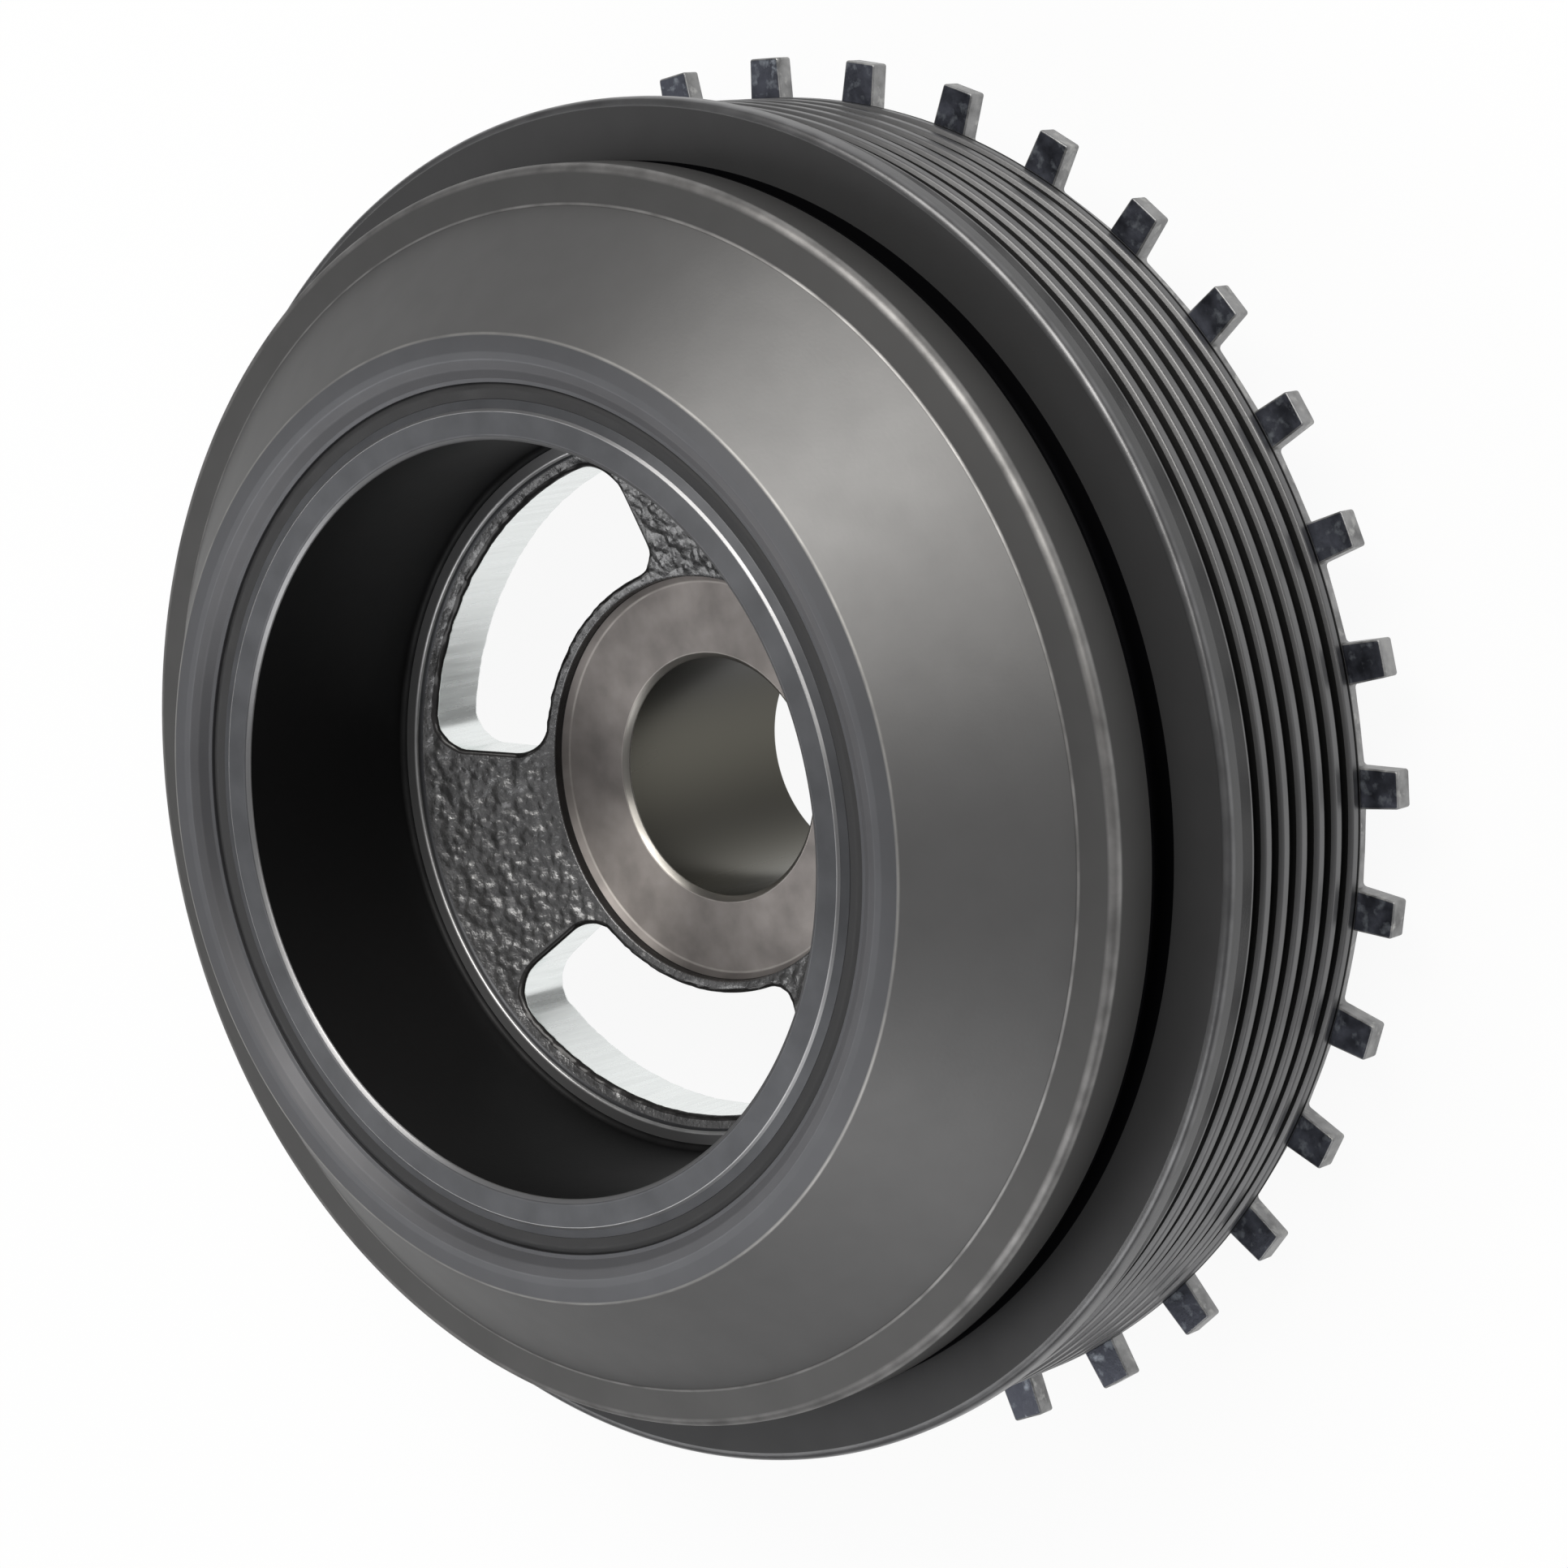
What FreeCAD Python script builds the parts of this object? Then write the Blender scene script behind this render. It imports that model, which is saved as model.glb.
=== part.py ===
import FreeCAD, Part
import math
import os

import Sketcher

# Harmonic balancer: a crankshaft damper that is also a belt pulley.
# An iron hub carries a heavy outer ring on a bonded rubber ring, and the
# outer ring carries six V-grooves and a stamped trigger wheel.
# Millimetres. +Z is the crank axis, from the engine to the nose, and z = 0
# is the rear end of the hub's snout, on which the part stands.

# Driving dimensions
SIZES = {
    # hub
    "bore_dia": 29.4,
    "bore_chamfer": 1.3,
    "snout_dia": 45.0,
    "snout_chamfer": 1.6,
    "seat_height": 29.7,
    "seat_dia": 48.2,
    "seat_depth": 2.0,
    "seat_flare": 0.8,
    "web_thickness": 6.5,
    "web_dish": 6.1,
    "ledge_width": 2.3,
    "ledge_step": 0.9,
    "cup_dia": 88.8,
    "cup_depth": 27.0,
    "rim_thickness": 4.7,
    # windows in the web
    "window_count": 3,
    "window_angle": 74.0,
    "window_phase": 30.0,
    "window_corner": 4.2,
    "window_inner_wall": 1.4,
    "window_outer_wall": 1.7,
    # rubber ring
    "rubber_thickness": 1.9,
    "rubber_recess": 0.4,
    # pulley ring
    "nose_lift": 0.9,
    "nose_mouth_width": 2.6,
    "nose_mouth_drop": 0.7,
    "nose_land": 1.0,
    "nose_bevel_width": 2.1,
    "nose_bevel_drop": 0.3,
    "cone_dia": 141.0,
    "cone_length": 13.9,
    "shoulder_drop": 0.5,
    "body_dia": 150.4,
    "body_length": 7.3,
    "relief_width": 3.8,
    "relief_depth": 3.2,
    "flange_dia": 164.8,
    "flange_land": 2.5,
    "rib_dia": 162.8,
    "rib_lead": 0.4,
    "groove_count": 6,
    "groove_pitch": 3.56,
    "groove_angle": 40.0,
    "groove_depth": 3.2,
    "cutter_overrun": 0.4,
    "first_groove": 7.4,
    "rear_land": 2.9,
    "cavity_floor_dia": 118.0,
    "cavity_dia": 129.0,
    # trigger wheel
    "register_dia": 140.0,
    "register_height": 2.0,
    "register_clearance": 0.05,
    "wheel_thickness": 2.5,
    "wheel_root_dia": 160.8,
    "wheel_tip_dia": 172.4,
    "tooth_positions": 36,
    "missing_teeth": 1,
    "tooth_tip_width": 4.4,
    "tooth_root_width": 4.8,
    "tooth_flare": 0.6,
    "wheel_phase": 181.25,
}

# Radii and heights that follow from the driving dimensions
LEVELS = {
    # hub radii
    "bore_r": "Sizes.bore_dia / 2",
    "bore_mouth_r": "Sizes.bore_dia / 2 + Sizes.bore_chamfer",
    "snout_r": "Sizes.snout_dia / 2",
    "snout_end_r": "Sizes.snout_dia / 2 - Sizes.snout_chamfer",
    "seat_r": "Sizes.seat_dia / 2",
    "seat_wall_r": "seat_r + Sizes.seat_flare",
    "cup_r": "Sizes.cup_dia / 2",
    "ledge_r": "cup_r - Sizes.ledge_width",
    "rim_r": "cup_r + Sizes.rim_thickness",
    "window_in_r": "seat_wall_r + Sizes.window_inner_wall",
    "window_out_r": "ledge_r - Sizes.window_outer_wall",
    # hub heights
    "snout_lead_z": "Sizes.snout_chamfer",
    "bore_rear_z": "Sizes.bore_chamfer",
    "seat_z": "Sizes.seat_height",
    "bore_front_z": "seat_z - Sizes.bore_chamfer",
    "seat_flare_z": "seat_z + Sizes.seat_flare",
    "web_in_z": "seat_z + Sizes.seat_depth",
    "web_out_z": "web_in_z + Sizes.web_dish",
    "web_back_in_z": "web_in_z - Sizes.web_thickness",
    "ledge_z": "web_out_z + Sizes.ledge_step",
    "rim_end_z": "web_out_z - Sizes.web_thickness",
    "rim_front_z": "ledge_z + Sizes.cup_depth",
    # rubber ring
    "ring_in_r": "rim_r + Sizes.rubber_thickness",
    "rubber_front_z": "rim_front_z - Sizes.rubber_recess",
    "rubber_back_z": "rim_end_z + Sizes.rubber_recess",
    # pulley ring radii
    "nose_mouth_r": "ring_in_r + Sizes.nose_mouth_width",
    "nose_face_r": "nose_mouth_r + Sizes.nose_land",
    "nose_r": "nose_face_r + Sizes.nose_bevel_width",
    "cone_r": "Sizes.cone_dia / 2",
    "body_r": "Sizes.body_dia / 2",
    "relief_r": "body_r - Sizes.relief_depth",
    "relief_out_r": "body_r + Sizes.cutter_overrun",
    "flange_r": "Sizes.flange_dia / 2",
    "rib_r": "Sizes.rib_dia / 2",
    "groove_root_r": "rib_r - Sizes.groove_depth",
    "groove_out_r": "rib_r + Sizes.cutter_overrun",
    "register_r": "Sizes.register_dia / 2",
    "cavity_r": "Sizes.cavity_dia / 2",
    "cavity_floor_r": "Sizes.cavity_floor_dia / 2",
    # pulley ring heights
    "nose_face_z": "rim_front_z + Sizes.nose_lift",
    "nose_mouth_z": "nose_face_z - Sizes.nose_mouth_drop",
    "nose_bevel_z": "nose_face_z - Sizes.nose_bevel_drop",
    "cone_z": "nose_bevel_z - Sizes.cone_length",
    "shoulder_z": "cone_z - Sizes.shoulder_drop",
    "relief_top_z": "shoulder_z - Sizes.body_length",
    "flange_z": "relief_top_z - Sizes.relief_width",
    "flange_low_z": "flange_z - Sizes.flange_land",
    "groove_flank": "tan(Sizes.groove_angle / 2 * 1 deg)",
    "groove_rib_half": "Sizes.groove_depth * groove_flank",
    "groove_out_half": "groove_rib_half + Sizes.cutter_overrun * groove_flank",
    "groove_z": "flange_z - Sizes.first_groove",
    "groove_out_top_z": "groove_z + groove_out_half",
    "groove_out_low_z": "groove_z - groove_out_half",
    "rib_top_z": "groove_z + groove_rib_half + Sizes.rib_lead",
    "groove_span": "(Sizes.groove_count - 1) * Sizes.groove_pitch",
    "ring_back_z": "groove_z - groove_span - Sizes.rear_land",
    "register_end_z": "ring_back_z - Sizes.register_height",
    # trigger wheel
    "wheel_bore_r": "register_r + Sizes.register_clearance",
    "wheel_root_r": "Sizes.wheel_root_dia / 2",
    "wheel_tip_r": "Sizes.wheel_tip_dia / 2",
    "wheel_back_z": "ring_back_z - Sizes.wheel_thickness",
    "tooth_foot_r": "wheel_root_r - Sizes.tooth_flare",
    "tooth_neck_r": "wheel_root_r + Sizes.tooth_flare",
    "tooth_tip_half": "Sizes.tooth_tip_width / 2",
    "tooth_neck_half": "Sizes.tooth_root_width / 2",
    "tooth_foot_half": "tooth_neck_half + 2 * Sizes.tooth_flare",
    "tooth_count": "Sizes.tooth_positions - Sizes.missing_teeth",
    "tooth_span": "360 * (tooth_count - 1) / Sizes.tooth_positions",
}

doc = FreeCAD.newDocument("harmonic_balancer")


def fill_sheet(name, cells, prefix):
    sheet = doc.addObject("Spreadsheet::Sheet", name)
    for row, (alias, content) in enumerate(cells.items(), start=1):
        sheet.set("A%d" % row, alias)
        sheet.set("B%d" % row, prefix + str(content))
        sheet.setAlias("B%d" % row, alias)
    return sheet


fill_sheet("Sizes", SIZES, "")
levels = fill_sheet("Levels", LEVELS, "=")
doc.recompute()


def level(alias):
    return float(levels.get(alias))


def new_body(name):
    body = doc.addObject("PartDesign::Body", name)
    body.Label = name
    return body


def origin_feature(body, role):
    for feature in body.Origin.OriginFeatures:
        if feature.Role == role:
            return feature
    raise ValueError(role)


def new_sketch(body, name, role):
    sketch = body.newObject("Sketcher::SketchObject", name)
    sketch.AttachmentSupport = (origin_feature(body, role), [""])
    sketch.MapMode = "FlatFace"
    return sketch


def fix_point(sketch, line, axis, alias):
    # Ties one coordinate of a line's start point to a level; "zero" is the axis itself.
    if alias == "zero":
        sketch.addConstraint(Sketcher.Constraint("PointOnObject", line, 1, -1))
        return
    sign = -1 if alias.startswith("-") else 1
    alias = alias.lstrip("-")
    value = level(alias)
    if sign > 0:
        rule = Sketcher.Constraint("Distance" + axis, -1, 1, line, 1, value)
    else:
        rule = Sketcher.Constraint("Distance" + axis, line, 1, -1, 1, value)
    index = sketch.addConstraint(rule)
    sketch.setExpression("Constraints[%d]" % index, "Levels." + alias)


def coordinate(alias):
    if alias == "zero":
        return 0.0
    return -level(alias[1:]) if alias.startswith("-") else level(alias)


def polygon(sketch, corners):
    # A closed outline whose corners are pairs of levels.
    points = [FreeCAD.Vector(coordinate(a), coordinate(b), 0) for a, b in corners]
    count = len(points)
    first = sketch.GeometryCount
    for i in range(count):
        sketch.addGeometry(Part.LineSegment(points[i], points[(i + 1) % count]), False)
    for i in range(count):
        after = first + (i + 1) % count
        sketch.addConstraint(Sketcher.Constraint("Coincident", first + i, 2, after, 1))
    for i, (across, along) in enumerate(corners):
        fix_point(sketch, first + i, "X", across)
        fix_point(sketch, first + i, "Y", along)


def turn(body, name, kind, sketch):
    # A full turn of the sketch about the crank axis, added or cut away.
    feature = body.newObject("PartDesign::" + kind, name)
    feature.Profile = sketch
    feature.ReferenceAxis = (sketch, ["V_Axis"])
    feature.Angle = 360
    sketch.Visibility = False
    doc.recompute()
    return feature


def pattern_round(body, name, feature):
    pattern = body.newObject("PartDesign::PolarPattern", name)
    pattern.Originals = [feature]
    pattern.Axis = (origin_feature(body, "Z_Axis"), [""])
    body.Tip = pattern
    return pattern


# Hub: one casting with its turned faces
HUB_SECTION = [
    ("bore_mouth_r", "zero"),
    ("snout_end_r", "zero"),
    ("snout_r", "snout_lead_z"),
    ("snout_r", "web_back_in_z"),
    ("rim_r", "rim_end_z"),
    ("rim_r", "rim_front_z"),
    ("cup_r", "rim_front_z"),
    ("cup_r", "ledge_z"),
    ("ledge_r", "ledge_z"),
    ("ledge_r", "web_out_z"),
    ("seat_wall_r", "web_in_z"),
    ("seat_wall_r", "seat_flare_z"),
    ("seat_r", "seat_z"),
    ("bore_mouth_r", "seat_z"),
    ("bore_r", "bore_front_z"),
    ("bore_r", "bore_rear_z"),
]


def window_outline(sketch):
    # A ring segment about +X with rounded corners, its sides on rays from the crank axis.
    inner = level("window_in_r")
    outer = level("window_out_r")
    corner = SIZES["window_corner"]
    half = math.radians(SIZES["window_angle"] / 2)
    sides = (-1, 1)
    centre = FreeCAD.Vector(0, 0, 0)
    up = FreeCAD.Vector(0, 0, 1)

    def polar(radius, angle):
        return FreeCAD.Vector(radius * math.cos(angle), radius * math.sin(angle), 0)

    # where the corner arcs touch the round walls and the straight sides
    inner_mid = inner + corner
    outer_mid = outer - corner
    inner_turn = math.asin(corner / inner_mid)
    outer_turn = math.asin(corner / outer_mid)
    inner_foot = inner_mid * math.cos(inner_turn)
    outer_foot = outer_mid * math.cos(outer_turn)

    def arc(middle, radius, start, end):
        return Part.ArcOfCircle(Part.Circle(middle, up, radius), start, end)

    low, high = -half, half
    shapes = [
        arc(centre, inner, low + inner_turn, high - inner_turn),
        arc(centre, outer, low + outer_turn, high - outer_turn),
        Part.LineSegment(polar(inner_foot, low), polar(outer_foot, low)),
        Part.LineSegment(polar(inner_foot, high), polar(outer_foot, high)),
        arc(polar(inner_mid, low + inner_turn), corner, low + inner_turn + math.pi, low + 1.5 * math.pi),
        arc(polar(outer_mid, low + outer_turn), corner, low - math.pi / 2, low + outer_turn),
        arc(polar(outer_mid, high - outer_turn), corner, high - outer_turn, high + math.pi / 2),
        arc(polar(inner_mid, high - inner_turn), corner, high + math.pi / 2, high - inner_turn + math.pi),
    ]
    for shape in shapes:
        sketch.addGeometry(shape, False)
    rules = [
        ("Coincident", 0, 3, -1, 1),
        ("Coincident", 1, 3, -1, 1),
        ("Tangent", 0, 1, 4, 1),
        ("Tangent", 4, 2, 2, 1),
        ("Tangent", 2, 2, 5, 1),
        ("Tangent", 5, 2, 1, 1),
        ("Tangent", 1, 2, 6, 1),
        ("Tangent", 6, 2, 3, 2),
        ("Tangent", 3, 1, 7, 1),
        ("Tangent", 7, 2, 0, 2),
        ("PointOnObject", -1, 1, 2),
        ("PointOnObject", -1, 1, 3),
        ("Equal", 4, 5),
        ("Equal", 4, 6),
        ("Equal", 4, 7),
    ]
    for rule in rules:
        sketch.addConstraint(Sketcher.Constraint(*rule))
    sizes = [
        (("Radius", 0, inner), "Levels.window_in_r"),
        (("Radius", 1, outer), "Levels.window_out_r"),
        (("Radius", 4, corner), "Sizes.window_corner"),
        (("Angle", 2, 1, 3, 1, 2 * half), "Sizes.window_angle * 1 deg"),
        (("Angle", -1, 1, 3, 1, half), "Sizes.window_angle / 2 * 1 deg"),
    ]
    for rule, source in sizes:
        index = sketch.addConstraint(Sketcher.Constraint(*rule))
        sketch.setExpression("Constraints[%d]" % index, source)


def make_hub():
    body = new_body("hub")
    section = new_sketch(body, "HubSection", "XZ_Plane")
    polygon(section, HUB_SECTION)
    turn(body, "HubBlank", "Revolution", section)
    outline = new_sketch(body, "WindowOutline", "XY_Plane")
    window_outline(outline)
    window = body.newObject("PartDesign::Pocket", "Window")
    window.Profile = outline
    window.Type = "ThroughAll"
    window.Reversed = True
    outline.Visibility = False
    doc.recompute()
    windows = pattern_round(body, "Windows", window)
    windows.Angle = 360
    windows.setExpression("Occurrences", "Sizes.window_count")
    body.setExpression("Placement.Rotation.Angle", "Sizes.window_phase")
    return body


# Rubber ring: bonded between the hub's rim and the pulley ring
def make_rubber_ring():
    body = new_body("rubber_ring")
    section = new_sketch(body, "RubberSection", "XZ_Plane")
    polygon(section, [
        ("rim_r", "rubber_back_z"),
        ("ring_in_r", "rubber_back_z"),
        ("ring_in_r", "rubber_front_z"),
        ("rim_r", "rubber_front_z"),
    ])
    turn(body, "RubberBlank", "Revolution", section)
    return body


# Pulley ring: nose, cone, shoulder, relief groove, belt flange and V-grooves
RING_SECTION = [
    ("ring_in_r", "rim_end_z"),
    ("ring_in_r", "nose_mouth_z"),
    ("nose_mouth_r", "nose_face_z"),
    ("nose_face_r", "nose_face_z"),
    ("nose_r", "nose_bevel_z"),
    ("cone_r", "cone_z"),
    ("body_r", "shoulder_z"),
    ("body_r", "flange_z"),
    ("flange_r", "flange_z"),
    ("flange_r", "flange_low_z"),
    ("rib_r", "rib_top_z"),
    ("rib_r", "ring_back_z"),
    ("register_r", "ring_back_z"),
    ("register_r", "register_end_z"),
    ("cavity_r", "register_end_z"),
    ("cavity_floor_r", "rim_end_z"),
]


def make_pulley_ring():
    body = new_body("pulley_ring")
    section = new_sketch(body, "RingSection", "XZ_Plane")
    polygon(section, RING_SECTION)
    turn(body, "RingBlank", "Revolution", section)
    relief = new_sketch(body, "ReliefSection", "XZ_Plane")
    polygon(relief, [
        ("relief_out_r", "relief_top_z"),
        ("relief_r", "relief_top_z"),
        ("relief_r", "flange_z"),
        ("relief_out_r", "flange_z"),
    ])
    turn(body, "ReliefGroove", "Groove", relief)
    vee = new_sketch(body, "GrooveSection", "XZ_Plane")
    polygon(vee, [
        ("groove_out_r", "groove_out_top_z"),
        ("groove_root_r", "groove_z"),
        ("groove_out_r", "groove_out_low_z"),
    ])
    groove = turn(body, "BeltGroove", "Groove", vee)
    grooves = body.newObject("PartDesign::LinearPattern", "BeltGrooves")
    grooves.Originals = [groove]
    grooves.Direction = (origin_feature(body, "Z_Axis"), [""])
    grooves.Reversed = True
    grooves.setExpression("Length", "Levels.groove_span")
    grooves.setExpression("Occurrences", "Sizes.groove_count")
    body.Tip = grooves
    return body


# Trigger wheel: a stamped toothed ring on the pulley ring's rear register.
# One tooth is left out as the index mark.
def make_trigger_wheel():
    body = new_body("trigger_wheel")
    plate = new_sketch(body, "PlateOutline", "XY_Plane")
    for i, alias in enumerate(("wheel_root_r", "wheel_bore_r")):
        circle = Part.Circle(FreeCAD.Vector(0, 0, 0), FreeCAD.Vector(0, 0, 1), level(alias))
        plate.addGeometry(circle, False)
        plate.addConstraint(Sketcher.Constraint("Coincident", i, 3, -1, 1))
        index = plate.addConstraint(Sketcher.Constraint("Radius", i, level(alias)))
        plate.setExpression("Constraints[%d]" % index, "Levels." + alias)
    pad = body.newObject("PartDesign::Pad", "Plate")
    pad.Profile = plate
    pad.setExpression("Length", "Sizes.wheel_thickness")
    plate.Visibility = False
    doc.recompute()
    outline = new_sketch(body, "ToothOutline", "XY_Plane")
    polygon(outline, [
        ("tooth_foot_r", "-tooth_foot_half"),
        ("wheel_root_r", "-tooth_foot_half"),
        ("tooth_neck_r", "-tooth_neck_half"),
        ("wheel_tip_r", "-tooth_tip_half"),
        ("wheel_tip_r", "tooth_tip_half"),
        ("tooth_neck_r", "tooth_neck_half"),
        ("wheel_root_r", "tooth_foot_half"),
        ("tooth_foot_r", "tooth_foot_half"),
    ])
    tooth = body.newObject("PartDesign::Pad", "Tooth")
    tooth.Profile = outline
    tooth.setExpression("Length", "Sizes.wheel_thickness")
    outline.Visibility = False
    doc.recompute()
    teeth = pattern_round(body, "Teeth", tooth)
    teeth.setExpression("Angle", "Levels.tooth_span")
    teeth.setExpression("Occurrences", "Levels.tooth_count")
    body.setExpression("Placement.Base.z", "Levels.wheel_back_z")
    body.setExpression("Placement.Rotation.Angle", "Sizes.wheel_phase")
    return body


bodies = [make_hub(), make_rubber_ring(), make_pulley_ring(), make_trigger_wheel()]
doc.recompute()

for item in doc.Objects:
    if "Invalid" in item.State or "Error" in item.State:
        raise RuntimeError("%s is %s" % (item.Name, item.State))
for body in bodies:
    if body.Shape.isNull() or not body.Shape.isValid():
        raise RuntimeError("%s has no valid shape" % body.Label)
    if len(body.Shape.Solids) != 1:
        raise RuntimeError("%s has %d solids" % (body.Label, len(body.Shape.Solids)))

os.makedirs("parts", exist_ok=True)
for body in bodies:
    body.Shape.exportStep("parts/%s.step" % body.Label)
    box = body.Shape.BoundBox
    print("%-14s volume %.1f cm3  x %.2f  y %.2f  z %.2f to %.2f" % (
        body.Label, body.Shape.Volume / 1000, box.XLength, box.YLength, box.ZMin, box.ZMax))
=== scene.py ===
import math

import bmesh
import bpy
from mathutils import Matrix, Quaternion, Vector, noise
from mathutils.geometry import delaunay_2d_cdt


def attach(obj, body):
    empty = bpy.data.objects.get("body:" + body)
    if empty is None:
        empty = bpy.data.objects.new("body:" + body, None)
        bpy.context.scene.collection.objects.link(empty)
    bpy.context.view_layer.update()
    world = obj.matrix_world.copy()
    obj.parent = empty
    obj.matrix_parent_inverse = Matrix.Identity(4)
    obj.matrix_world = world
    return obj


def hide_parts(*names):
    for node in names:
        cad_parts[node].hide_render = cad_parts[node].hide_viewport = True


# A harmonic balancer standing on the rear end of its snout, nose up. The crank
# axis is +Z. Outlines are in millimetres and are scaled by MM as they are made.
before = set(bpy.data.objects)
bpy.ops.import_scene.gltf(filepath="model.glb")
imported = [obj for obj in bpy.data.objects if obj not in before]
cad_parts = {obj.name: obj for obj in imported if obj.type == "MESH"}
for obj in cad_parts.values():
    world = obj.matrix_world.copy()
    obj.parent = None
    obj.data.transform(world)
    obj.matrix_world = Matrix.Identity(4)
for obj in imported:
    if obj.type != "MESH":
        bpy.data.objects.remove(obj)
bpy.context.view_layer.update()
scene = bpy.context.scene


# Hub
# An iron casting: a dished web with three windows joins the crank boss to a
# thin rim. The boss, its bolt seat, the bore and the rim are turned, the window
# walls are milled, and the web keeps the rough skin of the sand mould.
MM = 0.001
AROUND = 360
SNOUT, BORE = 22.5, 14.7
SEAT, SEAT_Z, SEAT_WALL = 24.1, 29.7, 24.9
WEB_Z, WEB_OUT_Z, WEB_BACK_Z = 31.7, 37.8, 25.2
LEDGE, LEDGE_Z = 42.1, 38.7
CUP, RIM, RIM_BACK_Z, RIM_FRONT_Z = 44.4, 49.1, 31.3, 65.7
WINDOW_IN, WINDOW_OUT, WINDOW_CORNER = 26.3, 40.4, 4.2
WINDOW_HALF_ANGLE = math.radians(37)
WINDOWS_AT = [math.radians(angle) for angle in (30, 150, 270)]

# The cast faces: the radii they run between, the distance between their points,
# and how far the window edges are rounded over.
WEB_FRONT_EDGES, FRONT_SPACING, FRONT_ROUND = (25.2, 41.6), 0.32, 0.6
WEB_BACK_EDGES, BACK_SPACING, BACK_ROUND = (25.0, 42.0), 1.2, 0.5

# The grain fades out over this much at a face's edges, and over this much down
# a window's wall. The back's is taken from another layer of the noise.
GRAIN_FADE, GRAIN_REACH, BACK_LAYER = 0.8, 1.2, 90


def finish_nodes(name, colour, metallic, roughness):
    material = bpy.data.materials.new(name)
    material.use_nodes = True
    tree = material.node_tree
    shader = tree.nodes["Principled BSDF"]
    shader.inputs["Base Color"].default_value = (*colour, 1)
    shader.inputs["Metallic"].default_value = metallic
    shader.inputs["Roughness"].default_value = roughness
    return material, tree, shader


def speckle(tree, place, size, detail=3.0):
    # Noise with features of about the given size.
    texture = tree.nodes.new("ShaderNodeTexNoise")
    texture.inputs["Scale"].default_value = 1 / size
    texture.inputs["Detail"].default_value = detail
    tree.links.new(place, texture.inputs["Vector"])
    return texture.outputs["Fac"]


def between(tree, value, low, high, start=0.3, end=0.7):
    # Noise lies mostly between 0.3 and 0.7.
    span = tree.nodes.new("ShaderNodeMapRange")
    span.inputs["From Min"].default_value = start
    span.inputs["From Max"].default_value = end
    span.inputs["To Min"].default_value = low
    span.inputs["To Max"].default_value = high
    tree.links.new(value, span.inputs["Value"])
    return span.outputs["Result"]


def roughened(tree, shader, value, low, high):
    tree.links.new(between(tree, value, low, high), shader.inputs["Roughness"])


def bumped(tree, height, depth, strength, below=None):
    bump = tree.nodes.new("ShaderNodeBump")
    bump.inputs["Distance"].default_value = depth
    bump.inputs["Strength"].default_value = strength
    tree.links.new(height, bump.inputs["Height"])
    if below is not None:
        tree.links.new(below, bump.inputs["Normal"])
    return bump.outputs["Normal"]


def lathe_lines(tree, place):
    # A place that is the same all the way round the crank axis.
    split = tree.nodes.new("ShaderNodeSeparateXYZ")
    flat = tree.nodes.new("ShaderNodeCombineXYZ")
    radius = tree.nodes.new("ShaderNodeVectorMath")
    radius.operation = "LENGTH"
    join = tree.nodes.new("ShaderNodeCombineXYZ")
    tree.links.new(place, split.inputs[0])
    tree.links.new(split.outputs["X"], flat.inputs["X"])
    tree.links.new(split.outputs["Y"], flat.inputs["Y"])
    tree.links.new(flat.outputs[0], radius.inputs[0])
    tree.links.new(radius.outputs["Value"], join.inputs["X"])
    tree.links.new(split.outputs["Z"], join.inputs["Y"])
    return join.outputs[0]


def worn_and_highlit_colour(tree, shader, colour, worn_and_highlit, cloud, depth):
    # Cloudy colour, brighter in patches along the edges: wear and painted highlight.
    place = tree.nodes.new("ShaderNodeTexCoord").outputs["Object"]
    shade = tree.nodes.new("ShaderNodeHueSaturation")
    shade.inputs["Color"].default_value = (*colour, 1)
    tree.links.new(between(tree, cloud, 1 - depth, 1 + depth), shade.inputs["Value"])
    edge = tree.nodes.new("ShaderNodeAttribute")
    edge.attribute_name = "edge_wear_and_highlight"
    patches = tree.nodes.new("ShaderNodeMath")
    patches.operation = "MULTIPLY"
    edge_patchiness = speckle(tree, place, 4 * MM)
    tree.links.new(edge.outputs["Fac"], patches.inputs[0])
    tree.links.new(between(tree, edge_patchiness, 0.35, 1.0), patches.inputs[1])
    rubbed_and_highlit = tree.nodes.new("ShaderNodeMix")
    rubbed_and_highlit.data_type = "RGBA"
    rubbed_and_highlit.inputs["B"].default_value = (*worn_and_highlit, 1)
    tree.links.new(patches.outputs[0], rubbed_and_highlit.inputs["Factor"])
    tree.links.new(shade.outputs["Color"], rubbed_and_highlit.inputs["A"])
    tree.links.new(rubbed_and_highlit.outputs["Result"], shader.inputs["Base Color"])


def turned_iron(name, colour, worn_and_highlit, roughness,
                grain=0.5, mottle=0.03, metallic=0.9, edge_tint=0.6):
    # A lathe-cut face, whose fine lines draw the highlight out across them.
    material, tree, shader = finish_nodes(name, colour, metallic, roughness)
    shader.inputs["Specular Tint"].default_value = (edge_tint, edge_tint, edge_tint, 1)
    place = tree.nodes.new("ShaderNodeTexCoord").outputs["Object"]
    cloud = speckle(tree, place, 5 * MM, detail=9.0)
    worn_and_highlit_colour(tree, shader, colour, worn_and_highlit, cloud, mottle)
    roughened(tree, shader, cloud, roughness + 0.005, roughness - 0.005)
    lines = speckle(tree, lathe_lines(tree, place), 0.3 * MM)
    pits = speckle(tree, place, 0.45 * MM, detail=2.0)
    cut = bumped(tree, lines, depth=0.015 * MM, strength=0.2)
    pitted = bumped(tree, pits, depth=0.02 * MM, strength=0.4, below=cut)
    tree.links.new(pitted, shader.inputs["Normal"])
    along = tree.nodes.new("ShaderNodeTangent")
    along.direction_type = "RADIAL"
    along.axis = "Z"
    tree.links.new(along.outputs[0], shader.inputs["Tangent"])
    shader.inputs["Anisotropic"].default_value = grain
    shader.inputs["Anisotropic Rotation"].default_value = 0.25
    return material


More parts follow.
